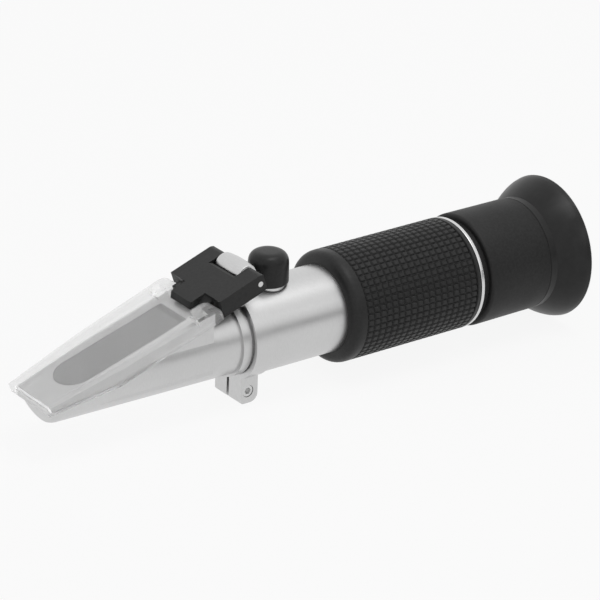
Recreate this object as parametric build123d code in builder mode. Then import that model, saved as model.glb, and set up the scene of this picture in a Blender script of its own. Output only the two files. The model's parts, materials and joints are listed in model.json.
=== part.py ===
from build123d import *
from math import cos, radians, sin, tan
import os

# Hand-held refractometer: a sloping prism under a hinged clear cover, a split ring that
# carries the hinge, a tube with a calibration screw, a rubber grip and a focusing eyepiece.
# X runs along the optical axis towards the eye and +Z is up. The origin lies under the
# middle of the length, level with the lowest point of the eyecup's rim.

os.makedirs("parts", exist_ok=True)

# Lengths along the optical axis, from the cover's front lip to the eyecup's rim
front_length = 62.4
ring_width = 5.5
tube_exposed = 24.3
grip_length = 42.6
trim_width = 1.5
focus_gap = 0.5
focus_length = 22.2
eyecup_length = 11.0

# Diameters of the round sections
tube_diameter = 24.0
tube_bore = 19.2
grip_seat_diameter = 23.2
ring_seat_diameter = 21.8
ring_diameter = 24.8
grip_diameter = 30.8
trim_diameter = 30.8
focus_diameter = 31.4
rim_diameter = 39.7

# Gaps between pieces: fixed together, pressed in, turning or sliding, and clear of each other
seat_gap = 0.05
press_gap = 0.01
running_gap = 0.1
free_gap = 0.3

# Hinge of the cover, measured from the clamp ring's front face and the optical axis
hinge_back = 1.5
hinge_rise = 17.9
pin_diameter = 1.5
pin_gap = 0.05
knuckle_radius = 2.5

# Sloping top of the prism, measured the same way
prism_angle = 17.0
window_front_of_ring = 17.7
window_rise = 10.5
window_half_width = 6.0
window_length = 37.5
seal_width = 0.5
seal_depth = 1.2
prism_land = 3.0
exit_setback = 2.6
exit_bottom = -5.0
block_floor_length = 20.0
block_length_low = 28.0
block_nose_height = -3.0

# Clear cover: a floor over the prism between two side walls that hang over the housing.
# Its own slope is a little steeper than the prism's.
cover_angle = 19.5
rail_rise = 2.75
cover_tip_half_width = 8.9
cover_knee_half_width = 10.6
cover_knee = 22.2
cover_rear_half_width = 11.0
cover_wall = 1.4
cover_floor = 1.2
cover_lip = 1.2
lip_bottom = 0.25
skirt_bottom = -3.0
skirt_knee = 21.0
sample_gap = 0.1
ear_thickness = 3.5
ear_length = 7.0
ear_rounding = 4.0
latch_window_start = 4.0
latch_window_length = 3.2
latch_window_bottom = -0.7
latch_window_height = 2.2

# Black hinge bracket
bracket_half_width = 11.0
bracket_half_thickness = 2.5
bracket_reach = 12.7
tongue_half_width = 4.4
tongue_length_top = 4.7
tongue_length_foot = 5.5
latch_gap = 0.15
latch_recess = 0.4
slot_half_width = 5.5
slot_gap = 0.4
slot_wall = 3.1
relief_rise = 0.95

# Pillar, clamping lug and screw of the ring
pillar_root = 9.0
lug_half_width = 5.7
lug_drop = 18.4
lug_root = 9.0
lug_rear_rounding = 2.4
lug_front_rounding = 1.0
slit_width = 1.0
screw_back = 2.4
screw_drop = 15.0
screw_diameter = 2.0
screw_head_diameter = 3.2
screw_head_height = 1.6
screw_recess = 1.8
screw_socket = 1.7
screw_socket_depth = 1.0
screw_end_recess = 0.8

# Prism housing
nose_diameter = 19.4
nose_setback = 2.2
housing_diameter = 20.4
collar_diameter = 21.8
collar_width = 2.6
collar_groove = 0.5
nose_rounding = 3.2
ledge_gap = 0.15
deck_gap = 0.25
deck_rear_gap = 1.9
deck_root = -5.0
spigot_length = 8.0
spigot_bore = 14.6
light_bore = 12.0

# Calibration screw, its bush and its rubber cap, on top of the tube
cap_from_ring = 12.0
cap_diameter = 11.1
cap_draft = 0.15
cap_bottom = 12.6
cap_top = 21.8
cap_crown_rounding = 2.6
cap_foot_rounding = 0.7
cap_hollow_top = 17.6
bush_neck_diameter = 7.0
bush_flange_diameter = 9.2
bush_flange_top = 12.45
bush_flange_seat = 11.0
bush_top = 16.6
bush_spigot_diameter = 6.0
bush_spigot_bottom = 9.3
setting_screw_diameter = 3.0
setting_head_diameter = 4.8
setting_head_seat = 14.6
setting_head_height = 1.6
setting_slot_width = 0.8
setting_slot_depth = 0.8
setting_tip = 6.1
clip_thickness = 0.5
clip_diameter = 5.2
clip_groove = 0.3

# Carriage that the calibration screw raises and lowers
block_front = 3.2
block_length = 10.0
block_width = 6.0
block_bottom = 6.0
block_top = 8.3
dowel_back = 5.0
dowel_diameter = 1.5
dowel_depth = 1.2
dowel_length = 4.2
strip_thickness = 0.6
strip_width = 4.6
strip_start = 2.4
strip_straight = 4.6
strip_bend = 5.0
strip_rise = 1.0
cell_back = 12.8
cell_length = 4.0
cell_diameter = 16.4
cell_lip = 0.6
cell_lip_width = 0.6
objective_diameter = 11.0
objective_thickness = 3.2
objective_edge = 2.0
rivet_diameter = 1.2
rivet_head_diameter = 2.0
rivet_head_height = 0.3
rivet_grip = 0.7
rivet_spacing = 2.6

# Inside the grip: the baffle is measured from the grip's front end, the scale from its rear
baffle_place = 12.0
baffle_thickness = 1.5
baffle_aperture = 11.0
scale_place = 12.1
scale_thickness = 1.2
scale_diameter = 16.4
scale_holder_length = 4.0
scale_aperture = 14.6

# Rubber grip
grip_front_band = 4.2
grip_rear_band = 1.6
grip_rounding = 1.2
groove_pitch = 2.05
groove_width = 0.9
groove_depth = 0.45
trim_edge = 0.3

# Focusing eyepiece
sleeve_insert = 7.1
sleeve_insert_bore = 16.0
sleeve_diameter = 23.6
sleeve_bore = 20.0
sleeve_bore_start = 1.9
sleeve_flange_diameter = 28.4
sleeve_flange_thickness = 0.4
sleeve_neck_diameter = 22.0
sleeve_neck_length = 2.1
sleeve_overhang = 0.2
retainer_diameter = 25.6
retainer_width = 2.0
focus_front_diameter = 29.6
focus_front_taper = 2.6
focus_rear_diameter = 31.1
focus_neck_diameter = 28.4
focus_neck_length = 4.0
focus_travel = 1.5
focus_half_turn = 75.0
cam_overrun = 8.0
lens_cell_place = 4.4
lens_cell_length = 15.0
lens_cell_wall = 1.45
lens_cell_lip = 1.0
lens_cell_lip_width = 0.8
field_lens_thickness = 4.0
field_lens_edge = 2.6
eye_lens_thickness = 3.4
eye_lens_edge = 2.2
spacer_length = 7.6
spacer_wall = 1.0
lens_ring_width = 1.2
lens_ring_aperture = 13.6
guide_place = 7.5
guide_diameter = 2.0
guide_gap = 0.15
guide_root = 0.1
cam_depth = 1.0
cam_clearance = 0.2

# Soft eyecup
eyecup_hole = 24.0
eyecup_web = 1.1
flare_length = 9.6
flare_diameter = 39.5
flare_sagitta = 0.35
rim_face = 0.95
rim_rounding = 0.45

# Stations along the optical axis
overall_length = (front_length + ring_width + tube_exposed + grip_length + trim_width
                  + focus_gap + focus_length + eyecup_length)
axis_height = rim_diameter / 2
x_tip = -overall_length / 2
x_ring = x_tip + front_length
x_tube = x_ring + ring_width
x_grip = x_tube + tube_exposed
x_trim = x_grip + grip_length
x_trim_end = x_trim + trim_width
x_focus = x_trim_end + focus_gap
x_eyecup = x_focus + focus_length
x_rim = x_eyecup + eyecup_length
x_cap = x_ring + cap_from_ring
x_pin = x_ring + hinge_back
x_neck = x_eyecup + focus_neck_length

tube_r = tube_diameter / 2
bore_r = tube_bore / 2
ring_seat_r = ring_seat_diameter / 2
ring_bore_r = ring_seat_r + seat_gap
pin_r = pin_diameter / 2
deep = 2 * rim_diameter
wide = rim_diameter

# Working planes. In the upright ones local X runs along the instrument and local Y is up.
optical_axis = Axis((0, 0, axis_height), (1, 0, 0))
side = Plane(origin=(0, 0, axis_height), x_dir=(1, 0, 0), z_dir=(0, -1, 0))


def across(x):
    """Plane square to the optical axis."""
    return Plane(origin=(x, 0, axis_height), x_dir=(0, 1, 0), z_dir=(1, 0, 0))


def level(height):
    """Level plane at a height over the optical axis."""
    return Plane(origin=(0, 0, axis_height + height))


def slope(x, height, angle):
    """Upright plane whose local X runs down a slope towards the tip and local Y out of it."""
    down = (-cos(radians(angle)), 0, -sin(radians(angle)))
    return Plane(origin=(x, 0, axis_height + height), x_dir=down, z_dir=(0, 1, 0))


cover_side = slope(x_pin, hinge_rise, cover_angle)
prism_side = slope(x_ring - window_front_of_ring, window_rise, prism_angle)
prism_top = Plane(origin=prism_side.origin, x_dir=prism_side.x_dir, z_dir=prism_side.y_dir)
cap_axis = Axis((x_cap, 0, axis_height), (0, 0, 1))

# Places along the cover's own slope, measured from the hinge pin
window_start = cover_side.to_local_coords(prism_side.origin)
slope_change = radians(cover_angle - prism_angle)
cover_tip = (x_pin - x_tip - rail_rise * sin(radians(cover_angle))) / cos(radians(cover_angle))
cover_rear = bracket_reach + free_gap
lip_rear = cover_tip - cover_lip
nose_front = lip_rear - deck_gap


def over_prism(along, height):
    """Point of the cover's side plane at a height over the prism's sloping top."""
    rise = (along - window_start.X) * tan(slope_change) + height / cos(slope_change)
    return (along, window_start.Y + rise)


x_cover_rear = cover_side.from_local_coords((cover_rear, skirt_bottom)).X
x_deck_rear = x_cover_rear - deck_rear_gap


def cover_plan(inset, mode=Mode.ADD):
    """Plan of the cover, narrow at the tip and widest at the hinge."""
    x_knee = x_tip + cover_knee
    halves = [
        (x_tip - free_gap, cover_tip_half_width - inset),
        (x_knee, cover_knee_half_width - inset),
        (x_cover_rear, cover_rear_half_width - inset),
        (x_pin, cover_rear_half_width - inset),
    ]
    Polygon(*halves, *[(x, -y) for x, y in reversed(halves)], mode=mode)


def window(inset, mode=Mode.ADD):
    """Prism window on the sloping top: straight at the hinge end and round at the tip."""
    half = window_half_width - inset
    centre = window_length - window_half_width
    with Locations(((centre + inset) / 2, 0)):
        Rectangle(centre - inset, 2 * half, mode=mode)
    with Locations((centre, 0)):
        Circle(half, mode=mode)


def prism_block(gap):
    """Side outline of the prism below its window, with an upright face towards the eye."""
    x_exit = prism_side.origin.X - exit_setback + gap
    x_low = x_exit - block_floor_length - 2 * gap
    x_nose_end = x_exit - block_length_low - 2 * gap
    Polygon(
        (x_exit, window_rise - prism_land),
        (x_exit, exit_bottom - gap),
        (x_low, exit_bottom - gap),
        (x_nose_end, block_nose_height - gap),
        (x_nose_end, 0),
    )


# Prism: a flat window on a block whose upright rear face sends the light down the tube
prism_half_width = window_half_width - seal_width

with BuildPart() as prism:
    with BuildSketch(prism_top):
        window(seal_width)
    extrude(amount=-prism_land)
    with BuildSketch(side):
        prism_block(0)
    extrude(amount=prism_half_width, both=True)
prism.part.label = "prism"
export_step(prism.part, "parts/prism.step")

with BuildPart() as prism_seal:
    with BuildSketch(prism_top):
        window(seat_gap)
        window(seal_width - press_gap, mode=Mode.SUBTRACT)
    extrude(amount=-seal_depth)
prism_seal.part.label = "prism_seal"
export_step(prism_seal.part, "parts/prism_seal.step")

# Prism housing: a slightly tapered round body, cut back to a sloping ledge on each side,
# with a raised deck that carries the prism and a spigot that plugs into the tube
x_nose = x_tip + nose_setback
x_collar_front = x_ring - collar_groove - collar_width
x_collar_rear = x_ring - collar_groove
groove_r = ring_seat_r - collar_groove
x_spigot_end = x_ring + spigot_length
x_exit_face = prism_side.origin.X - exit_setback

with BuildPart() as prism_housing:
    with BuildSketch(side):
        with BuildLine():
            nose = FilletPolyline(
                (x_nose, 0),
                (x_nose, nose_diameter / 2),
                (x_collar_front, housing_diameter / 2),
                radius=nose_rounding,
            )
            Polyline(
                nose @ 1,
                (x_collar_front, collar_diameter / 2),
                (x_collar_rear, collar_diameter / 2),
                (x_collar_rear, groove_r),
                (x_ring - seat_gap, groove_r),
                (x_ring - seat_gap, bore_r - seat_gap),
                (x_spigot_end, bore_r - seat_gap),
                (x_spigot_end, 0),
                nose @ 0,
            )
        make_face()
    revolve(axis=optical_axis)
    with BuildSketch(cover_side):
        Polygon(
            (bracket_reach, deep),
            (bracket_reach, skirt_bottom - ledge_gap),
            (cover_tip - skirt_knee, skirt_bottom - ledge_gap),
            (cover_tip, lip_bottom - ledge_gap),
            (cover_tip, deep),
        )
        with Locations((nose_front, 0)):
            Rectangle(deep, 2 * deep, align=(Align.MIN, Align.CENTER))
    extrude(amount=wide, both=True, mode=Mode.SUBTRACT)
    with BuildSketch(level(deck_root)):
        cover_plan(cover_wall + deck_gap)
        with Locations((x_deck_rear, 0)):
            Rectangle(wide, deep, align=(Align.MIN, Align.CENTER), mode=Mode.SUBTRACT)
    extrude(amount=deep)
    with BuildSketch(cover_side):
        Polygon(
            over_prism(-deep, 0),
            over_prism(deep, 0),
            (deep, 2 * deep),
            (-deep, 2 * deep),
        )
        with Locations((nose_front, 0)):
            Rectangle(deep, 2 * deep, align=(Align.MIN, Align.CENTER))
    extrude(amount=wide, both=True, mode=Mode.SUBTRACT)
    with BuildSketch(prism_top):
        window(0)
    extrude(amount=-seal_depth - seat_gap, mode=Mode.SUBTRACT)
    with BuildSketch(prism_top):
        window(seal_width - seat_gap)
    extrude(amount=-prism_land - seat_gap, mode=Mode.SUBTRACT)
    with BuildSketch(side):
        prism_block(seat_gap)
    extrude(amount=prism_half_width + seat_gap, both=True, mode=Mode.SUBTRACT)
    with BuildSketch(across(x_spigot_end)):
        Circle(spigot_bore / 2)
    extrude(amount=-spigot_length, mode=Mode.SUBTRACT)
    with BuildSketch(across(x_ring)):
        Circle(light_bore / 2)
    extrude(amount=x_exit_face - x_ring, mode=Mode.SUBTRACT)
prism_housing.part.label = "prism_housing"
export_step(prism_housing.part, "parts/prism_housing.step")

# Clear cover: side walls, a sloping floor that ends in the front lip, and two thick ears
# with latch windows next to the bracket
ear_inner = cover_rear_half_width - ear_thickness
latch_window = cover_rear + latch_window_start

with BuildPart() as daylight_plate:
    with BuildSketch(cover_side):
        Polygon(
            (cover_rear, rail_rise),
            (cover_tip, rail_rise),
            (cover_tip, lip_bottom),
            (cover_tip - skirt_knee, skirt_bottom),
            (cover_rear, skirt_bottom),
        )
    extrude(amount=wide, both=True)
    with BuildSketch(level(-deep)):
        cover_plan(cover_wall)
    extrude(amount=2 * deep, mode=Mode.SUBTRACT)
    with BuildSketch(cover_side):
        Polygon(
            over_prism(cover_rear, sample_gap),
            over_prism(lip_rear, sample_gap),
            (lip_rear, lip_bottom),
            (cover_tip, lip_bottom),
            (cover_tip, rail_rise),
            over_prism(cover_rear, sample_gap + cover_floor),
        )
    extrude(amount=wide, both=True)
    for hand in (-1, 1):
        with BuildSketch(cover_side.offset(hand * ear_inner)):
            Polygon(
                (cover_rear, rail_rise),
                (cover_rear + ear_length, rail_rise),
                over_prism(cover_rear + ear_length, sample_gap),
                over_prism(cover_rear, sample_gap),
            )
        extrude(amount=hand * wide)
        with BuildSketch(cover_side.offset(hand * ear_inner)):
            with Locations((latch_window, latch_window_bottom)):
                Rectangle(latch_window_length, latch_window_height, align=Align.MIN)
        extrude(amount=hand * wide, mode=Mode.SUBTRACT)
    with BuildSketch(level(-deep)):
        cover_plan(0)
    extrude(amount=2 * deep, mode=Mode.INTERSECT)
    with BuildSketch(cover_side):
        with Locations((cover_rear, rail_rise)):
            Rectangle(ear_rounding, ear_rounding, align=(Align.MIN, Align.MAX))
        with Locations((cover_rear + ear_rounding, rail_rise - ear_rounding)):
            Circle(ear_rounding, mode=Mode.SUBTRACT)
    extrude(amount=wide, both=True, mode=Mode.SUBTRACT)
daylight_plate.part.label = "daylight_plate"
export_step(daylight_plate.part, "parts/daylight_plate.step")

# Hinge bracket: a block with two round-ended ears beside the knuckle, a tongue that lies on
# the cover's floor and an arm on each side that latches into the ear's window
tongue_foot = sample_gap + cover_floor + seat_gap
tongue_root = bracket_reach - bracket_half_thickness
tongue_tip = bracket_reach + tongue_length_top
latch_start = latch_window + latch_gap
latch_end = latch_window + latch_window_length - latch_gap
latch_foot = latch_window_bottom + latch_gap
latch_top = latch_window_bottom + latch_window_height - latch_gap
latch_end_face = bracket_half_width - latch_recess
arm_half_width = ear_inner - latch_gap
hook_inner = ear_inner + latch_gap

with BuildPart() as hinge_bracket:
    with BuildSketch(cover_side):
        Circle(bracket_half_thickness)
        with Locations((bracket_reach / 2, 0)):
            Rectangle(bracket_reach, 2 * bracket_half_thickness)
    extrude(amount=bracket_half_width, both=True)
    with BuildSketch(cover_side):
        Polygon(
            (tongue_root, bracket_half_thickness),
            (tongue_tip, bracket_half_thickness),
            over_prism(bracket_reach + tongue_length_foot, tongue_foot),
            over_prism(tongue_root, tongue_foot),
        )
    extrude(amount=tongue_half_width, both=True)
    for hand in (-1, 1):
        with BuildSketch(cover_side.offset(hand * tongue_half_width)):
            Polygon(
                over_prism(tongue_root, tongue_foot),
                over_prism(latch_end, tongue_foot),
                (latch_end, latch_top),
                (tongue_root, latch_top),
            )
        extrude(amount=hand * (arm_half_width - tongue_half_width))
        with BuildSketch(cover_side.offset(hand * arm_half_width)):
            Polygon(
                over_prism(latch_start, tongue_foot),
                over_prism(latch_end, tongue_foot),
                (latch_end, latch_top),
                (latch_start, latch_top),
            )
        extrude(amount=hand * (latch_end_face - arm_half_width))
        with BuildSketch(cover_side.offset(hand * hook_inner)):
            with Locations((latch_start, latch_foot)):
                Rectangle(latch_end - latch_start, latch_top - latch_foot, align=Align.MIN)
        extrude(amount=hand * (latch_end_face - hook_inner))
    with BuildSketch(side):
        with Locations((x_pin, hinge_rise)):
            Circle(knuckle_radius + slot_gap)
        with Locations((x_pin - slot_wall, hinge_rise)):
            Rectangle(wide, deep, align=(Align.MIN, Align.MAX))
        with Locations((x_pin, hinge_rise + relief_rise)):
            Rectangle(wide, deep, align=(Align.CENTER, Align.MIN))
    extrude(amount=slot_half_width, both=True, mode=Mode.SUBTRACT)
    with BuildSketch(cover_side):
        Circle(pin_r + press_gap)
    extrude(amount=wide, both=True, mode=Mode.SUBTRACT)
hinge_bracket.part.label = "hinge_bracket"
export_step(hinge_bracket.part, "parts/hinge_bracket.step")

with BuildPart() as hinge_pin:
    with BuildSketch(cover_side):
        Circle(pin_r)
    extrude(amount=bracket_half_width, both=True)
hinge_pin.part.label = "hinge_pin"
export_step(hinge_pin.part, "parts/hinge_pin.step")

# Clamp ring: a slit ring with the hinge's knuckle on a pillar above and a lug below, whose
# screw has its head sunk in the near face
lug_face = Plane(
    origin=(x_ring + screw_back, -lug_half_width, axis_height - screw_drop),
    x_dir=(1, 0, 0),
    z_dir=(0, 1, 0),
)
screw_r = screw_diameter / 2

with BuildPart() as clamp_ring:
    with BuildSketch(across(x_ring)):
        Circle(ring_diameter / 2)
    extrude(amount=ring_width)
    with BuildSketch(side):
        with Locations((x_pin, hinge_rise)):
            Circle(knuckle_radius)
        with Locations((x_pin, pillar_root)):
            Rectangle(
                2 * knuckle_radius, hinge_rise - pillar_root, align=(Align.CENTER, Align.MIN)
            )
    extrude(amount=slot_half_width - latch_gap, both=True)
    with BuildSketch(side):
        with Locations((x_ring, -lug_drop)):
            Rectangle(ring_width, lug_drop - lug_root, align=Align.MIN)
    extrude(amount=lug_half_width, both=True)
    foot_edges = clamp_ring.edges().filter_by(Axis.Y).group_by(Axis.Z)[0].sort_by(Axis.X)
    fillet(foot_edges[-1], lug_rear_rounding)
    foot_edges = clamp_ring.edges().filter_by(Axis.Y).group_by(Axis.Z)[0].sort_by(Axis.X)
    fillet(foot_edges[0], lug_front_rounding)
    with BuildSketch(across(x_ring)):
        Circle(ring_bore_r)
    extrude(amount=ring_width, mode=Mode.SUBTRACT)
    with BuildSketch(across(x_ring)):
        Circle(collar_diameter / 2 + free_gap)
    extrude(amount=-ring_width, mode=Mode.SUBTRACT)
    with BuildSketch(level(-lug_root)):
        with Locations((x_ring + ring_width / 2, 0)):
            Rectangle(wide, slit_width)
    extrude(amount=-lug_drop, mode=Mode.SUBTRACT)
    with BuildSketch(lug_face):
        Circle(screw_r + seat_gap)
    extrude(amount=2 * lug_half_width, mode=Mode.SUBTRACT)
    with BuildSketch(lug_face):
        Circle(screw_head_diameter / 2 + running_gap)
    extrude(amount=screw_recess, mode=Mode.SUBTRACT)
    with BuildSketch(cover_side):
        Circle(pin_r + pin_gap)
    extrude(amount=wide, both=True, mode=Mode.SUBTRACT)
clamp_ring.part.label = "clamp_ring"
export_step(clamp_ring.part, "parts/clamp_ring.step")

with BuildPart() as clamp_screw:
    with BuildSketch(lug_face.offset(screw_recess)):
        Circle(screw_head_diameter / 2)
    extrude(amount=-screw_head_height)
    with BuildSketch(lug_face.offset(screw_recess)):
        Circle(screw_r)
    extrude(amount=2 * lug_half_width - screw_recess - screw_end_recess)
    with BuildSketch(lug_face.offset(screw_recess - screw_head_height)):
        RegularPolygon(screw_socket / 2, 6, major_radius=False)
    extrude(amount=screw_socket_depth, mode=Mode.SUBTRACT)
clamp_screw.part.label = "clamp_screw"
export_step(clamp_screw.part, "parts/clamp_screw.step")

# Main tube with a seat for the clamp ring in front and one for the grip behind
grip_seat_r = grip_seat_diameter / 2
spot_r = bush_flange_diameter / 2 + seat_gap
x_dowel = x_cap + dowel_back
dowel_r = dowel_diameter / 2
dowel_top = bore_r + dowel_depth

with BuildPart() as main_tube:
    with BuildSketch(side):
        Polygon(
            (x_ring, bore_r),
            (x_ring, ring_seat_r),
            (x_tube, ring_seat_r),
            (x_tube, tube_r),
            (x_grip, tube_r),
            (x_grip, grip_seat_r),
            (x_trim_end, grip_seat_r),
            (x_trim_end, bore_r),
        )
    revolve(axis=optical_axis)
    with BuildSketch(level(bush_flange_seat)):
        with Locations((x_cap, 0)):
            Circle(spot_r)
    extrude(amount=tube_r, mode=Mode.SUBTRACT)
    with BuildSketch(level(0)):
        with Locations((x_cap, 0)):
            Circle(bush_spigot_diameter / 2 + seat_gap)
    extrude(amount=tube_diameter, mode=Mode.SUBTRACT)
    with BuildSketch(level(0)):
        with Locations((x_dowel, 0)):
            Circle(dowel_r + press_gap)
    extrude(amount=dowel_top, mode=Mode.SUBTRACT)
    with BuildSketch(level(-tube_r)):
        with Locations((x_ring, 0)):
            Rectangle(2 * ring_width, slit_width)
    extrude(amount=tube_r - bore_r / 2, mode=Mode.SUBTRACT)
main_tube.part.label = "main_tube"
export_step(main_tube.part, "parts/main_tube.step")

# Bush of the calibration screw, with the screw and the washer that holds it
cap_side = Plane(origin=(x_cap, 0, axis_height), x_dir=(1, 0, 0), z_dir=(0, -1, 0))
setting_r = setting_screw_diameter / 2
clip_top = bush_spigot_bottom - seat_gap
clip_bottom = clip_top - clip_thickness
clip_groove_r = setting_r - clip_groove
head_seat = setting_head_seat + seat_gap

with BuildPart() as calibration_boss:
    with BuildSketch(cap_side):
        Polygon(
            (setting_r + seat_gap, bush_spigot_bottom),
            (bush_spigot_diameter / 2, bush_spigot_bottom),
            (bush_spigot_diameter / 2, bush_flange_seat),
            (bush_flange_diameter / 2, bush_flange_seat),
            (bush_flange_diameter / 2, bush_flange_top),
            (bush_neck_diameter / 2, bush_flange_top),
            (bush_neck_diameter / 2, bush_top),
            (setting_head_diameter / 2 + running_gap, bush_top),
            (setting_head_diameter / 2 + running_gap, setting_head_seat),
            (setting_r + seat_gap, setting_head_seat),
        )
    revolve(axis=cap_axis)
calibration_boss.part.label = "calibration_boss"
export_step(calibration_boss.part, "parts/calibration_boss.step")

with BuildPart() as calibration_screw:
    with BuildSketch(cap_side):
        Polygon(
            (0, setting_tip),
            (setting_r, setting_tip),
            (setting_r, clip_bottom),
            (clip_groove_r, clip_bottom),
            (clip_groove_r, clip_top),
            (setting_r, clip_top),
            (setting_r, head_seat),
            (setting_head_diameter / 2, head_seat),
            (setting_head_diameter / 2, head_seat + setting_head_height),
            (0, head_seat + setting_head_height),
        )
    revolve(axis=cap_axis)
    with BuildSketch(level(head_seat + setting_head_height)):
        with Locations((x_cap, 0)):
            Rectangle(setting_slot_width, setting_head_diameter)
    extrude(amount=-setting_slot_depth, mode=Mode.SUBTRACT)
calibration_screw.part.label = "calibration_screw"
export_step(calibration_screw.part, "parts/calibration_screw.step")

with BuildPart() as screw_clip:
    with BuildSketch(level(clip_bottom)):
        with Locations((x_cap, 0)):
            Circle(clip_diameter / 2)
            Circle(clip_groove_r + press_gap, mode=Mode.SUBTRACT)
    extrude(amount=clip_thickness)
screw_clip.part.label = "screw_clip"
export_step(screw_clip.part, "parts/screw_clip.step")

# Rubber cap that is pulled off to reach the screw
cap_r = cap_diameter / 2

with BuildPart() as calibration_cap:
    with BuildSketch(cap_side):
        Polygon(
            (0, cap_bottom),
            (cap_r, cap_bottom),
            (cap_r - cap_draft, cap_top),
            (0, cap_top),
        )
        fillet(vertices().group_by(Axis.Y)[-1].sort_by(Axis.X)[-1], cap_crown_rounding)
        fillet(vertices().group_by(Axis.Y)[0].sort_by(Axis.X)[-1], cap_foot_rounding)
    revolve(axis=cap_axis)
    with BuildSketch(level(cap_bottom)):
        with Locations((x_cap, 0)):
            Circle(bush_neck_diameter / 2 + running_gap)
    extrude(amount=cap_hollow_top - cap_bottom, mode=Mode.SUBTRACT)
calibration_cap.part.label = "calibration_cap"
export_step(calibration_cap.part, "parts/calibration_cap.step")

# Carriage: a nut block on the screw and a dowel in the tube's wall, and a strip of two
# metals that carries the objective and bends a little with the temperature
x_block = x_cap - block_front
x_strip = x_cap + strip_start
x_bend = x_strip + strip_straight
x_cell = x_cap + cell_back
x_strip_end = x_cell + cell_length - free_gap
cell_flat = block_bottom - strip_thickness + strip_rise
rivet_r = rivet_diameter / 2
block_rivets = (x_strip + rivet_head_diameter / 2, 0)
cell_rivets = (x_cell + cell_length / 2, 0)

with BuildPart() as lens_carrier:
    with BuildSketch(level(block_bottom)):
        with Locations((x_block, 0)):
            Rectangle(block_length, block_width, align=(Align.MIN, Align.CENTER))
        with Locations((x_cap, 0)):
            Circle(setting_r + seat_gap, mode=Mode.SUBTRACT)
        with Locations((x_dowel, 0)):
            Circle(dowel_r + pin_gap, mode=Mode.SUBTRACT)
    extrude(amount=block_top - block_bottom)
    with BuildSketch(level(block_bottom)):
        with Locations(block_rivets):
            with GridLocations(0, rivet_spacing, 1, 2):
                Circle(rivet_r + press_gap)
    extrude(amount=rivet_grip + seat_gap, mode=Mode.SUBTRACT)
lens_carrier.part.label = "lens_carrier"
export_step(lens_carrier.part, "parts/lens_carrier.step")

with BuildPart() as guide_dowel:
    with BuildSketch(level(dowel_top - seat_gap)):
        with Locations((x_dowel, 0)):
            Circle(dowel_r)
    extrude(amount=-dowel_length)
guide_dowel.part.label = "guide_dowel"
export_step(guide_dowel.part, "parts/guide_dowel.step")

with BuildPart() as bimetal_strip:
    with BuildSketch(side):
        with BuildLine():
            strip_line = block_bottom - strip_thickness / 2
            Line((x_strip, strip_line), (x_bend, strip_line))
            Spline(
                (x_bend, strip_line),
                (x_bend + strip_bend, strip_line + strip_rise),
                tangents=((1, 0), (1, 0)),
            )
            Line(
                (x_bend + strip_bend, strip_line + strip_rise),
                (x_strip_end, strip_line + strip_rise),
            )
        trace(line_width=strip_thickness)
    extrude(amount=strip_width / 2, both=True)
    with BuildSketch(level(0)):
        with Locations(block_rivets, cell_rivets):
            with GridLocations(0, rivet_spacing, 1, 2):
                Circle(rivet_r + press_gap)
    extrude(amount=bore_r, mode=Mode.SUBTRACT)
bimetal_strip.part.label = "bimetal_strip"
export_step(bimetal_strip.part, "parts/bimetal_strip.step")

with BuildPart() as strip_rivets:
    strip_bottom = block_bottom - strip_thickness
    strip_top = cell_flat + strip_thickness
    with BuildSketch(level(strip_bottom)):
        with Locations(block_rivets):
            with GridLocations(0, rivet_spacing, 1, 2):
                Circle(rivet_r)
    extrude(amount=strip_thickness + rivet_grip)
    with BuildSketch(level(strip_bottom)):
        with Locations(block_rivets):
            with GridLocations(0, rivet_spacing, 1, 2):
                Circle(rivet_head_diameter / 2)
    extrude(amount=-rivet_head_height)
    with BuildSketch(level(strip_top)):
        with Locations(cell_rivets):
            with GridLocations(0, rivet_spacing, 1, 2):
                Circle(rivet_r)
    extrude(amount=-strip_thickness - rivet_grip)
    with BuildSketch(level(strip_top)):
        with Locations(cell_rivets):
            with GridLocations(0, rivet_spacing, 1, 2):
                Circle(rivet_head_diameter / 2)
    extrude(amount=rivet_head_height)
strip_rivets.part.label = "strip_rivets"
export_step(strip_rivets.part, "parts/strip_rivets.step")

objective_r = objective_diameter / 2

with BuildPart() as objective_cell:
    with BuildSketch(across(x_cell)):
        Circle(cell_diameter / 2)
        Circle(objective_r - cell_lip_width, mode=Mode.SUBTRACT)
    extrude(amount=cell_length)
    with BuildSketch(across(x_cell + cell_lip)):
        Circle(objective_r + seat_gap)
    extrude(amount=cell_length, mode=Mode.SUBTRACT)
    with BuildSketch(level(cell_flat)):
        with Locations((x_cell, 0)):
            Rectangle(wide, wide)
    extrude(amount=wide, mode=Mode.SUBTRACT)
    with BuildSketch(level(cell_flat)):
        with Locations(cell_rivets):
            with GridLocations(0, rivet_spacing, 1, 2):
                Circle(rivet_r + press_gap)
    extrude(amount=-rivet_grip - seat_gap, mode=Mode.SUBTRACT)
objective_cell.part.label = "objective_cell"
export_step(objective_cell.part, "parts/objective_cell.step")


def dome_radius(radius, dome):
    """Radius of the sphere whose cap has a given radius and height."""
    return (radius**2 + dome**2) / (2 * dome)


x_objective = x_cell + cell_lip + seat_gap
objective_dome = objective_thickness - objective_edge

with BuildPart() as objective_lens:
    with BuildSketch(side):
        with BuildLine():
            Polyline(
                (x_objective + objective_thickness, 0),
                (x_objective, 0),
                (x_objective, objective_r),
                (x_objective + objective_edge, objective_r),
            )
            RadiusArc(
                (x_objective + objective_edge, objective_r),
                (x_objective + objective_thickness, 0),
                dome_radius(objective_r, objective_dome),
            )
        make_face()
    revolve(axis=optical_axis)
objective_lens.part.label = "objective_lens"
export_step(objective_lens.part, "parts/objective_lens.step")

# Baffle, and the glass disc of the scale in its holder
insert_r = bore_r - seat_gap
x_baffle = x_grip + baffle_place
x_scale = x_trim - scale_place
scale_r = scale_diameter / 2

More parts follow.
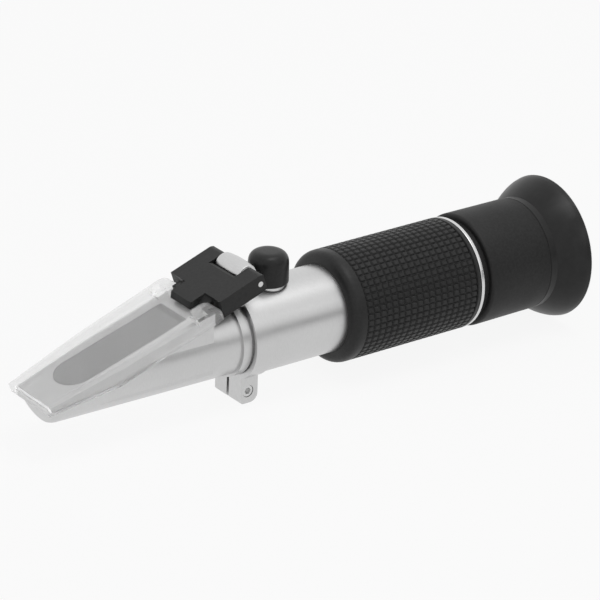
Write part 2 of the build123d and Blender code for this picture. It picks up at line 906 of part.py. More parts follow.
with BuildPart() as light_baffle:
    with BuildSketch(across(x_baffle)):
        Circle(insert_r)
        Circle(baffle_aperture / 2, mode=Mode.SUBTRACT)
    extrude(amount=baffle_thickness)
light_baffle.part.label = "light_baffle"
export_step(light_baffle.part, "parts/light_baffle.step")

with BuildPart() as reticle_holder:
    with BuildSketch(across(x_scale)):
        Circle(insert_r)
        Circle(scale_aperture / 2, mode=Mode.SUBTRACT)
    extrude(amount=scale_holder_length)
    with BuildSketch(across(x_scale)):
        Circle(scale_r + seat_gap)
    extrude(amount=scale_thickness + seat_gap, mode=Mode.SUBTRACT)
reticle_holder.part.label = "reticle_holder"
export_step(reticle_holder.part, "parts/reticle_holder.step")

with BuildPart() as reticle:
    with BuildSketch(across(x_scale)):
        Circle(scale_r)
    extrude(amount=scale_thickness)
reticle.part.label = "reticle"
export_step(reticle.part, "parts/reticle.step")

# Rubber grip with rows of ribs between a plain front band and a narrow rear band
grip_r = grip_diameter / 2
grip_bore_r = grip_seat_r + seat_gap
ribbed_length = grip_length - grip_front_band - grip_rear_band
groove_count = int(ribbed_length / groove_pitch) + 1
first_groove = x_grip + grip_front_band + groove_width / 2

with BuildPart() as rubber_grip:
    with BuildSketch(side):
        with Locations((x_grip, grip_bore_r)):
            Rectangle(grip_length, grip_r - grip_bore_r, align=Align.MIN)
        fillet(vertices().group_by(Axis.Y)[-1].sort_by(Axis.X)[0], grip_rounding)
    revolve(axis=optical_axis)
    with BuildSketch(side):
        for number in range(groove_count):
            with Locations((first_groove + number * groove_pitch, grip_r)):
                Rectangle(groove_width, 2 * groove_depth)
    revolve(axis=optical_axis, mode=Mode.SUBTRACT)
rubber_grip.part.label = "rubber_grip"
export_step(rubber_grip.part, "parts/rubber_grip.step")

with BuildPart() as trim_ring:
    with BuildSketch(side):
        with Locations((x_trim, grip_bore_r)):
            Rectangle(trim_width, trim_diameter / 2 - grip_bore_r, align=Align.MIN)
        chamfer(vertices().group_by(Axis.Y)[-1], trim_edge)
    revolve(axis=optical_axis)
trim_ring.part.label = "trim_ring"
export_step(trim_ring.part, "parts/trim_ring.step")

# Eyepiece sleeve, fixed in the tube, with a lengthwise slot for the guide screw
x_lens_cell = x_trim_end + lens_cell_place
x_guide = x_lens_cell + guide_place
x_sleeve_end = x_eyecup + sleeve_overhang
x_sleeve_neck = x_sleeve_end - sleeve_neck_length
sleeve_r = sleeve_diameter / 2
sleeve_bore_r = sleeve_bore / 2
sleeve_neck_r = sleeve_neck_diameter / 2
flange_r = sleeve_flange_diameter / 2
guide_r = guide_diameter / 2
guide_slot = guide_diameter + 2 * guide_gap

with BuildPart() as eyepiece_sleeve:
    with BuildSketch(side):
        Polygon(
            (x_trim_end - sleeve_insert, sleeve_insert_bore / 2),
            (x_trim_end - sleeve_insert, insert_r),
            (x_trim_end, insert_r),
            (x_trim_end, flange_r),
            (x_trim_end + sleeve_flange_thickness, flange_r),
            (x_trim_end + sleeve_flange_thickness, sleeve_r),
            (x_sleeve_neck, sleeve_r),
            (x_sleeve_neck, sleeve_neck_r),
            (x_sleeve_end, sleeve_neck_r),
            (x_sleeve_end, sleeve_bore_r),
            (x_trim_end + sleeve_bore_start, sleeve_bore_r),
            (x_trim_end + sleeve_bore_start, sleeve_insert_bore / 2),
        )
    revolve(axis=optical_axis)
    with BuildSketch(level(0)):
        with Locations((x_guide, 0)):
            SlotOverall(2 * focus_travel + guide_slot, guide_slot)
    extrude(amount=wide, mode=Mode.SUBTRACT)
eyepiece_sleeve.part.label = "eyepiece_sleeve"
export_step(eyepiece_sleeve.part, "parts/eyepiece_sleeve.step")

# Focusing ring. A helical groove inside it drives the guide screw along the slot, and its
# neck carries the eyecup.
focus_bore_r = sleeve_r + running_gap
cam_r = focus_bore_r + cam_depth
retainer_r = retainer_diameter / 2
counterbore_r = retainer_r + running_gap
focus_neck_r = focus_neck_diameter / 2
focus_rear_r = focus_rear_diameter / 2
x_shoulder = x_sleeve_neck - running_gap
cam_pitch = focus_travel * 360 / focus_half_turn
cam_half_turn = focus_half_turn + cam_overrun
cam_start = (0, sin(radians(cam_half_turn)), cos(radians(cam_half_turn)))
cam_height = cam_pitch * 2 * cam_half_turn / 360
cam_plane = Plane(
    origin=(x_guide - cam_height / 2, 0, axis_height), x_dir=cam_start, z_dir=(1, 0, 0)
)
cam_path = cam_plane.location * Helix(cam_pitch, cam_height, focus_bore_r)

with BuildPart() as focus_ring:
    with BuildSketch(side):
        Polygon(
            (x_focus, focus_bore_r),
            (x_focus, focus_front_diameter / 2),
            (x_focus + focus_front_taper, focus_diameter / 2),
            (x_eyecup, focus_rear_r),
            (x_eyecup, focus_neck_r),
            (x_neck, focus_neck_r),
            (x_neck, counterbore_r),
            (x_shoulder, counterbore_r),
            (x_shoulder, focus_bore_r),
        )
    revolve(axis=optical_axis)
    with BuildSketch(Plane(origin=cam_path @ 0, x_dir=cam_start, z_dir=cam_path % 0)):
        Rectangle(2 * cam_depth, guide_slot)
    sweep(path=cam_path, is_frenet=True, mode=Mode.SUBTRACT)
focus_ring.part.label = "focus_ring"
export_step(focus_ring.part, "parts/focus_ring.step")

with BuildPart() as focus_retainer:
    with BuildSketch(across(x_sleeve_neck + seat_gap)):
        Circle(retainer_r)
        Circle(sleeve_neck_r + seat_gap, mode=Mode.SUBTRACT)
    extrude(amount=retainer_width)
focus_retainer.part.label = "focus_retainer"
export_step(focus_retainer.part, "parts/focus_retainer.step")

# Sliding lens cell with its two lenses, spacer, retaining ring and guide screw
lens_cell_r = sleeve_bore_r - running_gap
lens_r = lens_cell_r - lens_cell_wall
lens_seat_r = lens_r + seat_gap
dome_r = lens_r - spacer_wall - seat_gap
x_field = x_lens_cell + lens_cell_lip + seat_gap
x_spacer = x_field + field_lens_edge + seat_gap
x_eye_edge = x_spacer + spacer_length + seat_gap
x_lens_ring = x_eye_edge + eye_lens_edge + seat_gap
field_dome = field_lens_thickness - field_lens_edge
eye_dome = eye_lens_thickness - eye_lens_edge
guide_foot = lens_seat_r + guide_root
guide_top = cam_r - cam_clearance

with BuildPart() as lens_cell:
    with BuildSketch(across(x_lens_cell)):
        Circle(lens_cell_r)
        Circle(lens_seat_r - lens_cell_lip_width, mode=Mode.SUBTRACT)
    extrude(amount=lens_cell_length)
    with BuildSketch(across(x_lens_cell + lens_cell_lip)):
        Circle(lens_seat_r)
    extrude(amount=lens_cell_length, mode=Mode.SUBTRACT)
    with BuildSketch(level(0)):
        with Locations((x_guide, 0)):
            Circle(guide_r + press_gap)
    extrude(amount=lens_cell_r, mode=Mode.SUBTRACT)
lens_cell.part.label = "lens_cell"
export_step(lens_cell.part, "parts/lens_cell.step")

with BuildPart() as guide_screw:
    with BuildSketch(level(guide_foot)):
        with Locations((x_guide, 0)):
            Circle(guide_r)
    extrude(amount=guide_top - guide_foot)
guide_screw.part.label = "guide_screw"
export_step(guide_screw.part, "parts/guide_screw.step")

with BuildPart() as field_lens:
    with BuildSketch(side):
        with BuildLine():
            Polyline(
                (x_field + field_lens_thickness, 0),
                (x_field, 0),
                (x_field, lens_r),
                (x_field + field_lens_edge, lens_r),
                (x_field + field_lens_edge, dome_r),
            )
            RadiusArc(
                (x_field + field_lens_edge, dome_r),
                (x_field + field_lens_thickness, 0),
                dome_radius(dome_r, field_dome),
            )
        make_face()
    revolve(axis=optical_axis)
field_lens.part.label = "field_lens"
export_step(field_lens.part, "parts/field_lens.step")

with BuildPart() as lens_spacer:
    with BuildSketch(across(x_spacer)):
        Circle(lens_r)
        Circle(lens_r - spacer_wall, mode=Mode.SUBTRACT)
    extrude(amount=spacer_length)
lens_spacer.part.label = "lens_spacer"
export_step(lens_spacer.part, "parts/lens_spacer.step")

with BuildPart() as eye_lens:
    with BuildSketch(side):
        with BuildLine():
            Polyline(
                (x_eye_edge - eye_dome, 0),
                (x_eye_edge + eye_lens_edge, 0),
                (x_eye_edge + eye_lens_edge, lens_r),
                (x_eye_edge, lens_r),
                (x_eye_edge, dome_r),
            )
            RadiusArc(
                (x_eye_edge, dome_r),
                (x_eye_edge - eye_dome, 0),
                -dome_radius(dome_r, eye_dome),
            )
        make_face()
    revolve(axis=optical_axis)
eye_lens.part.label = "eye_lens"
export_step(eye_lens.part, "parts/eye_lens.step")

with BuildPart() as lens_retainer:
    with BuildSketch(across(x_lens_ring)):
        Circle(lens_r)
        Circle(lens_ring_aperture / 2, mode=Mode.SUBTRACT)
    extrude(amount=lens_ring_width)
lens_retainer.part.label = "lens_retainer"
export_step(lens_retainer.part, "parts/lens_retainer.step")

# Soft eyecup: a collar on the focusing ring's neck, a web with the eye hole and a flare
rim_r = rim_diameter / 2
cup_collar_r = focus_neck_r + seat_gap
x_collar = x_eyecup + seat_gap
x_web = x_neck + seat_gap
x_web_end = x_web + eyecup_web
flare_r = flare_diameter / 2
flare_chord = ((flare_length - seat_gap) ** 2 + (flare_r - focus_rear_r) ** 2) ** 0.5

with BuildPart() as eyecup:
    with BuildSketch(side):
        with BuildLine():
            RadiusArc(
                (x_collar, focus_rear_r),
                (x_eyecup + flare_length, flare_r),
                dome_radius(flare_chord / 2, flare_sagitta),
            )
            Polyline(
                (x_eyecup + flare_length, flare_r),
                (x_rim - 2 * rim_rounding, rim_r),
                (x_rim, rim_r),
                (x_rim, rim_r - rim_face),
                (x_web_end, eyecup_hole / 2),
                (x_web, eyecup_hole / 2),
                (x_web, cup_collar_r),
                (x_collar, cup_collar_r),
                (x_collar, focus_rear_r),
            )
        make_face()
        fillet(vertices().group_by(Axis.X)[-1].sort_by(Axis.Y)[-1], rim_rounding)
    revolve(axis=optical_axis)
eyecup.part.label = "eyecup"
export_step(eyecup.part, "parts/eyecup.step")
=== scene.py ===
import json
import math

import bmesh
import bpy
from mathutils import Matrix, Vector


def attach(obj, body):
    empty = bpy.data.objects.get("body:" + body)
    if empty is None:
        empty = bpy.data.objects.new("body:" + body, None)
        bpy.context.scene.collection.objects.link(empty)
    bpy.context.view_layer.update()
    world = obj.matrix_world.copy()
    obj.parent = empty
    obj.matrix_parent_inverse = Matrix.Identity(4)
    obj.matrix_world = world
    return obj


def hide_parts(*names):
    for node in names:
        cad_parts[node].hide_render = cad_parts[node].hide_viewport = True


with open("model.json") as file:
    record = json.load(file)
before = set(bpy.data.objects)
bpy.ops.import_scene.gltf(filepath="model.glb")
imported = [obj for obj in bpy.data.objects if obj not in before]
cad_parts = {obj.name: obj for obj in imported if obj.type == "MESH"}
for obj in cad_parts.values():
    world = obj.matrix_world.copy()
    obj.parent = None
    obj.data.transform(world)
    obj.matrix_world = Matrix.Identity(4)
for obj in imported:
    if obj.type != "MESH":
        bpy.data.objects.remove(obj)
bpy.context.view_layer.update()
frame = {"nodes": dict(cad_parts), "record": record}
nodes = frame["nodes"]
collection = bpy.context.scene.collection

# Lengths below are in mm, as in the part's source, and become metres when a mesh is made.
# x runs along the optical axis from the nose to the eyecup, and z is up from the table.
MM = 0.001
AXIS_Z = 19.85
X_LINE, Y_LINE, Z_LINE = (1, 0, 0), (0, 1, 0), (0, 0, 1)
AXIS = (0, 0, AXIS_Z)
PIN = Vector((-21.1, 0, 37.75))
CAP_CENTRE = (-10.6, 0, AXIS_Z)

# The cover's plane slopes down from the hinge pin: one direction along it, one off it
COVER_DOWN = Vector((-0.94264, 0, -0.33381))
COVER_OFF = Vector((-0.33381, 0, 0.94264))


# Nodes of a material

def add(tree, kind, **values):
    node = tree.nodes.new(kind)
    for key, value in values.items():
        setattr(node, key, value)
    return node


def put(node, name, value):
    node.inputs[name].default_value = value


def new_material(name):
    mat = bpy.data.materials.new(name)
    mat.use_nodes = True
    tree = mat.node_tree
    return mat, tree, tree.nodes["Principled BSDF"]


def noise(tree, scale, detail, stretch=(1, 1, 1)):
    where = add(tree, "ShaderNodeTexCoord")
    mapping = add(tree, "ShaderNodeMapping")
    put(mapping, "Scale", stretch)
    tree.links.new(where.outputs["Object"], mapping.inputs["Vector"])
    tex = add(tree, "ShaderNodeTexNoise")
    put(tex, "Scale", scale)
    put(tex, "Detail", detail)
    tree.links.new(mapping.outputs["Vector"], tex.inputs["Vector"])
    return tex.outputs["Fac"]


def ramp(tree, fac, low, high):
    """Grey from low to high over the middle of the noise's range"""
    node = add(tree, "ShaderNodeValToRGB")
    for element, place, grey in zip(node.color_ramp.elements, (0.3, 0.7), (low, high)):
        element.position = place
        element.color = (grey, grey, grey, 1)
    tree.links.new(fac, node.inputs["Fac"])
    return node.outputs["Color"]


def vary(tree, shader, socket, fac, low, high):
    tree.links.new(ramp(tree, fac, low, high), shader.inputs[socket])


def bump(tree, shader, height, strength, distance):
    node = add(tree, "ShaderNodeBump")
    put(node, "Strength", strength)
    put(node, "Distance", distance)
    tree.links.new(height, node.inputs["Height"])
    tree.links.new(node.outputs["Normal"], shader.inputs["Normal"])


def along_direction(tree, output, direction):
    """How far a texture coordinate reaches in a fixed direction"""
    where = add(tree, "ShaderNodeTexCoord")
    dot = add(tree, "ShaderNodeVectorMath", operation="DOT_PRODUCT")
    dot.inputs[1].default_value = direction
    tree.links.new(where.outputs[output], dot.inputs[0])
    return dot.outputs["Value"]


def smooth_step(tree, value, start, end, low, high):
    node = add(tree, "ShaderNodeMapRange", interpolation_type="SMOOTHSTEP")
    put(node, "From Min", start)
    put(node, "From Max", end)
    put(node, "To Min", low)
    put(node, "To Max", high)
    tree.links.new(value, node.inputs["Value"])
    return node.outputs["Result"]


# Materials

METAL_BUMP, METAL_DEPTH = 0.25, 0.02 * MM
DULL_DEPTH = 0.04 * MM
DULL_SPECULAR = 0.28
TURNED_GRAIN, UPRIGHT_GRAIN = (6, 1, 1), (1, 1, 6)


def metal(name, grey, spread, rough, rough_spread, stretch):
    mat, tree, shader = new_material(name)
    put(shader, "Metallic", 1.0)
    grain = noise(tree, 900.0, 4.0, stretch)
    vary(tree, shader, "Base Color", grain, grey - spread, grey + spread)
    patches = noise(tree, 60.0, 2.0)
    vary(tree, shader, "Roughness", patches, rough - rough_spread, rough + rough_spread)
    bump(tree, shader, grain, METAL_BUMP, METAL_DEPTH)
    return mat


def dull(name, grey, spread, rough, rough_spread, scale=1500.0, strength=0.3):
    mat, tree, shader = new_material(name)
    put(shader, "Specular IOR Level", DULL_SPECULAR)
    grain = noise(tree, scale, 5.0)
    vary(tree, shader, "Base Color", grain, grey - spread, grey + spread)
    patches = noise(tree, 90.0, 3.0)
    vary(tree, shader, "Roughness", patches, rough - rough_spread, rough + rough_spread)
    bump(tree, shader, grain, strength, DULL_DEPTH)
    return mat


def clear_plastic():
    """Slightly milky, so that the cover's walls show as light bands"""
    mat, tree, shader = new_material("clear_plastic")
    put(shader, "Transmission Weight", 0.82)
    put(shader, "IOR", 1.13)
    waves = noise(tree, 120.0, 3.0)
    vary(tree, shader, "Base Color", waves, 0.96, 0.99)
    vary(tree, shader, "Roughness", noise(tree, 300.0, 3.0), 0.04, 0.09)
    bump(tree, shader, waves, 0.08, 0.05 * MM)
    return mat


def prism_glass():
    """Fine ground glass, with painted shade: a darker strip along the window's upper end, below
    the bracket's tongue
    """
    window_down = (-0.9563, 0, -0.29237)
    # Painted shade: the glass's colour is darkened to about a third over a strip along the
    # window's upper end
    shade_start, shade_end, shade_share = 31.6 * MM, 31.9 * MM, 0.35
    mat, tree, shader = new_material("prism_glass")
    ground = ramp(tree, noise(tree, 1400.0, 5.0), 0.09, 0.18)
    painted_shade = smooth_step(
        tree, along_direction(tree, "Object", window_down),
        shade_start, shade_end, shade_share, 1.0,
    )
    shaded = add(tree, "ShaderNodeVectorMath", operation="SCALE")
    tree.links.new(ground, shaded.inputs[0])
    tree.links.new(painted_shade, shaded.inputs["Scale"])
    tree.links.new(shaded.outputs["Vector"], shader.inputs["Base Color"])
    vary(tree, shader, "Roughness", noise(tree, 200.0, 3.0), 0.12, 0.2)
    return mat


def lens_glass():
    mat, tree, shader = new_material("lens_glass")
    put(shader, "Transmission Weight", 1.0)
    put(shader, "IOR", 1.52)
    waves = noise(tree, 200.0, 2.0)
    vary(tree, shader, "Base Color", waves, 0.93, 0.97)
    vary(tree, shader, "Roughness", waves, 0.01, 0.03)
    return mat


steel = metal("steel", 0.6, 0.03, 0.3, 0.05, UPRIGHT_GRAIN)
by_slot = {
    "satin_metal": metal("satin_metal", 0.59, 0.02, 0.34, 0.03, TURNED_GRAIN),
    "ring_metal": metal("ring_metal", 0.6, 0.02, 0.36, 0.03, TURNED_GRAIN),
    "trim_metal": metal("trim_metal", 0.66, 0.01, 0.25, 0.02, TURNED_GRAIN),
    "steel": steel,
    "brass_parts": metal("brass", 0.62, 0.03, 0.3, 0.05, UPRIGHT_GRAIN),
    "black_metal": dull("black_metal", 0.012, 0.004, 0.55, 0.05),
    "black_plastic": dull("black_plastic", 0.014, 0.004, 0.42, 0.04),
    "black_rubber": dull("grip_rubber", 0.016, 0.004, 0.42, 0.05),
    "cup_rubber": dull("cup_rubber", 0.012, 0.003, 0.36, 0.05, 400.0, 0.1),
    "clear_plastic": clear_plastic(),
    "prism_glass": prism_glass(),
    "lens_glass": lens_glass(),
    "dark_cement": dull("dark_cement", 0.12, 0.02, 0.6, 0.05),
    "two_metal_strip": steel,
}
cap_rubber = dull("cap_rubber", 0.012, 0.003, 0.35, 0.04)

slots = {s["node"]: s["material_slot"] for s in frame["record"]["subparts"]}
for name, obj in nodes.items():
    obj.data.materials.clear()
    obj.data.materials.append(by_slot[slots[name]])
nodes["calibration_cap"].data.materials[0] = cap_rubber


# Mesh tools

def soften(corners, cuts, steps):
    """A closed profile whose corners are trimmed by their cuts and bridged by a curve"""
    points = []
    for index, (corner, cut) in enumerate(zip(corners, cuts)):
        here = Vector(corner)
        if cut == 0:
            points.append(here)
            continue
        before = here + (Vector(corners[index - 1]) - here).normalized() * cut
        following = Vector(corners[(index + 1) % len(corners)])
        after = here + (following - here).normalized() * cut
        for step in range(steps + 1):
            t = step / steps
            points.append(before * (1 - t) ** 2 + here * 2 * t * (1 - t) + after * t * t)
    return points


def join_rings(bm, rings, on_axis=()):
    """Faces between neighbouring closed rings, but none between two points on the axis"""
    count = len(rings[0])
    for index, ring in enumerate(rings):
        following = rings[(index + 1) % len(rings)]
        for k in range(count):
            m = (k + 1) % count
            if k not in on_axis or m not in on_axis:
                bm.faces.new((ring[k], ring[m], following[m], following[k]))


def finish_piece(name, bm, body, slot, replaced=None, mat=None, sharp=32.0):
    """The piece rides on its body, in its slot's material, with edges above sharp degrees"""
    bmesh.ops.recalc_face_normals(bm, faces=bm.faces)
    mesh = bpy.data.meshes.new(name)
    bm.to_mesh(mesh)
    bm.free()
    mesh.shade_smooth()
    mesh.set_sharp_from_angle(angle=math.radians(sharp))
    mesh.materials.append(mat or by_slot[slot])
    obj = bpy.data.objects.new(name, mesh)
    collection.objects.link(obj)
    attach(obj, body)
    if replaced:
        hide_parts(replaced)


def turned(name, profile, origin, along, side, *place, segments=192, **options):
    """A piece turned about a line: profile gives (place along it, radius)"""
    touching, same_point = 1e-6, 1e-8
    origin, along, side = Vector(origin), Vector(along), Vector(side)
    across = along.cross(side)
    bm = bmesh.new()
    rings = []
    for index in range(segments):
        angle = 2 * math.pi * index / segments
        spoke = side * math.cos(angle) + across * math.sin(angle)
        rings.append([bm.verts.new((origin + along * p[0] + spoke * p[1]) * MM) for p in profile])
    join_rings(bm, rings, {k for k, p in enumerate(profile) if p[1] < touching})
    bmesh.ops.remove_doubles(bm, verts=bm.verts, dist=same_point)
    loose = [v for v in bm.verts if not v.link_faces]
    bmesh.ops.delete(bm, geom=loose, context="VERTS")
    finish_piece(name, bm, *place, **options)


def slope_box(down_range, y_range, off_range):
    """A cutter in the cover's sloping plane, measured from the pin"""
    bm = bmesh.new()
    spots = [
        bm.verts.new((PIN + COVER_DOWN * a + Vector((0, b, 0)) + COVER_OFF * c) * MM)
        for a in down_range for b in y_range for c in off_range
    ]
    for face in (
        (0, 1, 3, 2), (4, 6, 7, 5), (0, 4, 5, 1), (2, 3, 7, 6), (0, 2, 6, 4), (1, 5, 7, 3)
    ):
        bm.faces.new([spots[i] for i in face])
    bmesh.ops.recalc_face_normals(bm, faces=bm.faces)
    return bm


def pin_drum(radius, half_width, segments=72):
    """A cutter round the pin"""
    bm = bmesh.new()
    pairs = []
    for index in range(segments):
        angle = 2 * math.pi * index / segments
        spoke = Vector((math.cos(angle), 0, math.sin(angle))) * radius
        pairs.append([
            bm.verts.new((PIN + spoke + Vector((0, y, 0))) * MM)
            for y in (-half_width, half_width)
        ])
    for index, pair in enumerate(pairs):
        after = pairs[(index + 1) % segments]
        bm.faces.new((pair[0], after[0], after[1], pair[1]))
    bm.faces.new([pair[0] for pair in pairs])
    bm.faces.new([pair[1] for pair in pairs])
    bmesh.ops.recalc_face_normals(bm, faces=bm.faces)
    return bm


def carved(name, node, cutters, body, slot, sharp):
    """A copy of a CAD node's mesh with the cutters taken out of it, in place of the node"""
    work = bpy.data.objects.new("work", nodes[node].data.copy())
    collection.objects.link(work)
    tools = []
    for bm in cutters:
        mesh = bpy.data.meshes.new("cutter")
        bm.to_mesh(mesh)
        bm.free()
        tool = bpy.data.objects.new("cutter", mesh)
        collection.objects.link(tool)
        tools.append(tool)
        cut = work.modifiers.new("cut", "BOOLEAN")
        cut.operation, cut.solver, cut.object = "DIFFERENCE", "EXACT", tool
    graph = bpy.context.evaluated_depsgraph_get()
    mesh = bpy.data.meshes.new_from_object(work.evaluated_get(graph))
    for extra in tools + [work]:
        bpy.data.objects.remove(extra)
    mesh.materials.clear()
    bm = bmesh.new()
    bm.from_mesh(mesh)
    finish_piece(name, bm, body, slot, node, sharp=sharp)


# Studded grip: islands between lengthwise and crosswise grooves, a plain rounded front collar
# and a narrow plain band at the rear
grip_start, grip_end, grip_r, bore_r = 7.2, 49.8, 15.4, 11.65
collar_end, collar_rounding, rear_chamfer = 11.4, 2.9, 0.35
stud_pitch, stud_rows, stud_columns, groove_depth = 2.05, 18, 54, 0.5
groove_lip = 0.25
band_lip = 0.3
# Where a stud's profile turns, as shares of its pitch, and whether it is high there
stud_turns = ((0.0, 0), (0.13, 0), (0.28, 1), (0.85, 1))


def stud_line(count):
    return [(index + part, high) for index in range(count) for part, high in stud_turns]


# Each point of the outline: place, radius, and whether it is the high part of a stud
front = soften(
    [(grip_start, bore_r), (grip_start, grip_r), (collar_end, grip_r)],
    [0, collar_rounding, 0], 10,
)
outline = [(grip_start, bore_r, 0)]
outline += [(place, r, 0) for place, r in front[1:-1]]
outline.append((collar_end - groove_lip, grip_r, 0))
outline += [
    (collar_end + place * stud_pitch, grip_r - (0 if high else groove_depth), high)
    for place, high in stud_line(stud_rows)
]
band = collar_end + stud_rows * stud_pitch
outline += [
    (band, grip_r - groove_depth, 0),
    (band + band_lip, grip_r, 0),
    (grip_end - rear_chamfer, grip_r, 0),
    (grip_end, grip_r - rear_chamfer, 0),
    (grip_end, bore_r, 0),
]
bm = bmesh.new()
rings = []
for place, column_high in stud_line(stud_columns):
    angle = 2 * math.pi * place / stud_columns
    ring = []
    for x, r, stud in outline:
        if stud and not column_high:
            r -= groove_depth
        spot = Vector((x, r * math.sin(angle), AXIS_Z + r * math.cos(angle)))
        ring.append(bm.verts.new(spot * MM))
    rings.append(ring)
join_rings(bm, rings)
finish_piece("studded_grip", bm, "body", "black_rubber", "rubber_grip", sharp=50.0)

# Calibration cap with a domed crown; heights are from the optical axis. Its mouth is wide
# enough for the boss's flange, and its bore for the boss's neck.
cap_foot, cap_step, cap_ceiling, cap_top = 12.05, 12.6, 17.6, 20.8
cap_r, cap_crown_r, cap_mouth_r, cap_bore_r = 5.5, 5.35, 4.75, 3.65
foot_rounding, crown_rounding = 0.7, 3.2
cap_profile = soften(
    [
        (cap_foot, cap_mouth_r), (cap_foot, cap_r), (cap_top, cap_crown_r), (cap_top, 0),
        (cap_ceiling, 0), (cap_ceiling, cap_bore_r), (cap_step, cap_bore_r),
        (cap_step, cap_mouth_r),
    ],
    [0, foot_rounding, crown_rounding, 0, 0, 0, 0, 0], 10,
)
turned(
    "domed_cap", cap_profile, CAP_CENTRE, Z_LINE, X_LINE,
    "cap", "black_rubber", "calibration_cap", cap_rubber, segments=96,
)

# Bright ring behind the grip, thin and with rounded edges
trim_front, trim_rear, trim_r, trim_bore_r = 49.85, 50.95, 15.35, 11.9
trim_profile = soften(
    [
        (trim_front, trim_bore_r), (trim_front, trim_r),
        (trim_rear, trim_r), (trim_rear, trim_bore_r),
    ],
    [0, 0.25, 0.35, 0], 6,
)
turned("bright_ring", trim_profile, AXIS, X_LINE, Z_LINE, "body", "trim_metal", "trim_ring")

# Focusing barrel: a recessed front step, a rounded shoulder, and the neck inside the eyecup
barrel_bore_r, step_r, neck_r = 13.0, 14.0, 14.2
barrel_profile = soften(
    [
        (51.8, barrel_bore_r), (51.8, step_r), (53.2, step_r), (53.35, 15.68),
        (73.95, 15.55), (73.95, 14.3), (77.9, neck_r), (77.9, barrel_bore_r),
    ],
    [0, 0.3, 0.15, 0.9, 0.25, 0, 0.2, 0], 6,
)
turned("barrel_skin", barrel_profile, AXIS, X_LINE, Z_LINE, "focus", "black_metal", "focus_ring")

# Eyecup: a short straight collar, then a flare that rises steeply and levels out at the rim
collar_front, collar_r, collar_edge, seat_r = 74.05, 15.5, 0.2, 14.25
flare_start, flare_end, flare_rise, flare_curve = 76.2, 84.0, 4.25, 1.4
flare_steps, inside_steps = 32, 12
inside_start, inside_end, inside_r, inside_fall = 84.6, 79.5, 18.6, 4.6
web_front, web_rear, eye_hole_r = 78.05, 79.15, 12.0
cup_profile = [
    (collar_front, seat_r), (collar_front, collar_r - collar_edge),
    (collar_front + collar_edge, collar_r), (flare_start - 0.15, collar_r),
]
for step in range(flare_steps + 1):
    t = step / flare_steps
    cup_profile.append((
        flare_start + (flare_end - flare_start) * t,
        collar_r + flare_rise * (1 - (1 - t) ** flare_curve),
    ))
cup_profile += [(84.4, 19.85), (84.75, 19.75), (84.95, 19.45), (85.0, 19.2), (84.95, 18.9)]
for step in range(inside_steps + 1):
    t = step / inside_steps
    cup_profile.append((
        inside_start - (inside_start - inside_end) * t, inside_r - inside_fall * t ** 1.5
    ))
cup_profile += [
    (web_rear, 13.4), (web_rear, eye_hole_r), (web_front, eye_hole_r), (web_front, seat_r)
]
turned(
    "flared_cup", cup_profile, AXIS, X_LINE, Z_LINE,
    "focus", "cup_rubber", "eyecup", sharp=28.0,
)

# Bracket: cut back behind the pin and outside its tongue, with a wider slot for the knuckle
tongue_half, wing_start, past_tip, past_side, past_top = 4.38, 15.3, 22.0, 12.0, 4.0
ear_rear, slot_r, slot_half = 1.5, 4.1, 5.5
carved(
    "bracket_block", "hinge_bracket",
    [
        pin_drum(slot_r, slot_half),
        slope_box((wing_start, past_tip), (tongue_half, past_side), (-past_top, past_top)),
        slope_box((wing_start, past_tip), (-past_side, -tongue_half), (-past_top, past_top)),
        slope_box((-past_top, -ear_rear), (-past_side, past_side), (-past_top, past_top)),
    ],
    "cover", "black_plastic", 18.0,
)

# Barrel-shaped knuckle between the bracket's ears, a shell over the solid one
knuckle_half, crown_half, knuckle_bore_r = 5.2, 4.95, 1.2
end_r, shoulder_r, crown_r, crown_rise, crown_steps = 2.8, 3.0, 3.02, 0.35, 24
edge_half = 5.0
knuckle = [(-knuckle_half, knuckle_bore_r), (-knuckle_half, end_r), (-edge_half, shoulder_r)]
for step in range(1, crown_steps):
    t = -1 + 2 * step / crown_steps
    knuckle.append((crown_half * t, crown_r + crown_rise * (1 - t * t)))
knuckle += [(edge_half, shoulder_r), (knuckle_half, end_r), (knuckle_half, knuckle_bore_r)]
turned("knuckle_shell", knuckle, PIN, Y_LINE, Z_LINE, "body", "ring_metal", segments=96)


# Floor and world: both show white to the camera, to reflections and through glass

def emptied(owner, output_kind):
    owner.use_nodes = True
    tree = owner.node_tree
    tree.nodes.clear()
    return tree, add(tree, output_kind), add(tree, "ShaderNodeLightPath")


def either(tree, first, second):
    node = add(tree, "ShaderNodeMath", operation="MAXIMUM")
    tree.links.new(first, node.inputs[0])
    tree.links.new(second, node.inputs[1])
    return node.outputs[0]


def white_rays(tree, path):
    unseen = either(tree, path.outputs["Is Glossy Ray"], path.outputs["Is Transmission Ray"])
    return either(tree, path.outputs["Is Camera Ray"], unseen)


def mix_surfaces(tree, share, plain, white, out):
    mix = add(tree, "ShaderNodeMixShader")
    tree.links.new(share, mix.inputs["Fac"])
    tree.links.new(plain.outputs[0], mix.inputs[1])
    tree.links.new(white.outputs[0], mix.inputs[2])
    tree.links.new(mix.outputs[0], out.inputs["Surface"])


# The instrument rests on the eyecup's rim and on its lug, whose foot is higher in the row
# frame, so the floor rises towards the nose. It stays just clear of the rim.
floor_half = 6.0
rim_x, lug_rise, lug_reach, clearance = 84.5, 1.45, 104.5, 0.02
fall = lug_rise / lug_reach
corners = [
    (-floor_half, -floor_half), (floor_half, -floor_half),
    (floor_half, floor_half), (-floor_half, floor_half),
]
floor_mesh = bpy.data.meshes.new("floor")
floor_mesh.from_pydata(
    [(x, y, fall * (rim_x * MM - x) - clearance * MM) for x, y in corners], [], [(0, 1, 2, 3)]
)
floor = bpy.data.objects.new("floor", floor_mesh)
collection.objects.link(floor)

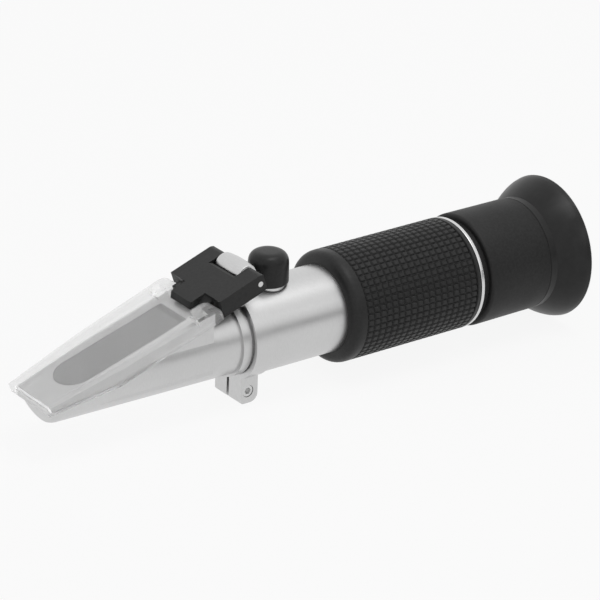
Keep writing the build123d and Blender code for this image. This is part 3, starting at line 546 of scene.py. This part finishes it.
floor_white = 0.9
floor_mat = bpy.data.materials.new("floor")
tree, out, path = emptied(floor_mat, "ShaderNodeOutputMaterial")
diffuse = add(tree, "ShaderNodeBsdfDiffuse")
put(diffuse, "Color", (0.82, 0.82, 0.82, 1))
glow = add(tree, "ShaderNodeEmission")
put(glow, "Strength", 1.0)
share = add(tree, "ShaderNodeMath", operation="MULTIPLY")
tree.links.new(white_rays(tree, path), share.inputs[0])
share.inputs[1].default_value = floor_white
mix_surfaces(tree, share.outputs[0], diffuse, glow, out)
floor_mesh.materials.append(floor_mat)

# A soft grey card in the studio, seen only as a reflection, gives the metal its grey band.
# Start and end are cosines of the angle from its middle.
card_middle = Vector((0.554, -0.827, 0.12)).normalized()
card_start, card_end, card_grey = 0.82, 0.96, 0.3
world = bpy.data.worlds.new("studio")
bpy.context.scene.world = world
tree, out, path = emptied(world, "ShaderNodeOutputWorld")
ambient = add(tree, "ShaderNodeBackground")
put(ambient, "Strength", 0.55)
white = add(tree, "ShaderNodeBackground")
put(white, "Strength", 1.0)
card = smooth_step(
    tree, along_direction(tree, "Generated", card_middle), card_start, card_end, 1.0, card_grey
)
tree.links.new(either(tree, card, path.outputs["Is Camera Ray"]), white.inputs["Color"])
mix_surfaces(tree, white_rays(tree, path), ambient, white, out)


def area(name, place, size, power):
    """A lamp that faces the middle of the row frame, in metres and watts"""
    data = bpy.data.lights.new(name, "AREA")
    data.shape = "RECTANGLE"
    data.size, data.size_y = size
    data.energy = power
    lamp = bpy.data.objects.new(name, data)
    lamp.location = place
    lamp.rotation_euler = (Vector(place) * -1).to_track_quat("-Z", "Y").to_euler()
    collection.objects.link(lamp)


area("key", (0.1, -0.15, 0.85), (0.5, 0.4), 1.7)
area("fill", (0.35, -0.75, 0.4), (0.6, 0.4), 0.6)

# The camera stands 1 m off, in front, on the near side and above, as in the photograph
turn, tilt, roll = math.radians(37.515), math.radians(24.489), math.radians(-2.129)
aim, distance = Vector((0.205, 0.0, 23.857)) * MM, 1.0
camera_data = bpy.data.cameras.new("camera")
camera_data.sensor_width = 36.0
camera_data.sensor_fit = "HORIZONTAL"
camera_data.lens = 227.8
camera_data.clip_start = 0.05
camera_data.clip_end = 50.0
camera = bpy.data.objects.new("camera", camera_data)
collection.objects.link(camera)
back = Vector((
    -math.sin(turn) * math.cos(tilt), -math.cos(turn) * math.cos(tilt), math.sin(tilt)
))
right = (-back).cross(Vector(Z_LINE)).normalized()
down = (-back).cross(right)
across = math.cos(roll) * right + math.sin(roll) * down
below = -math.sin(roll) * right + math.cos(roll) * down
pose = Matrix((across, -below, back)).transposed().to_4x4()
pose.translation = aim + back * distance
camera.matrix_world = pose
bpy.context.scene.camera = camera
bpy.context.scene.view_settings.view_transform = "Standard"
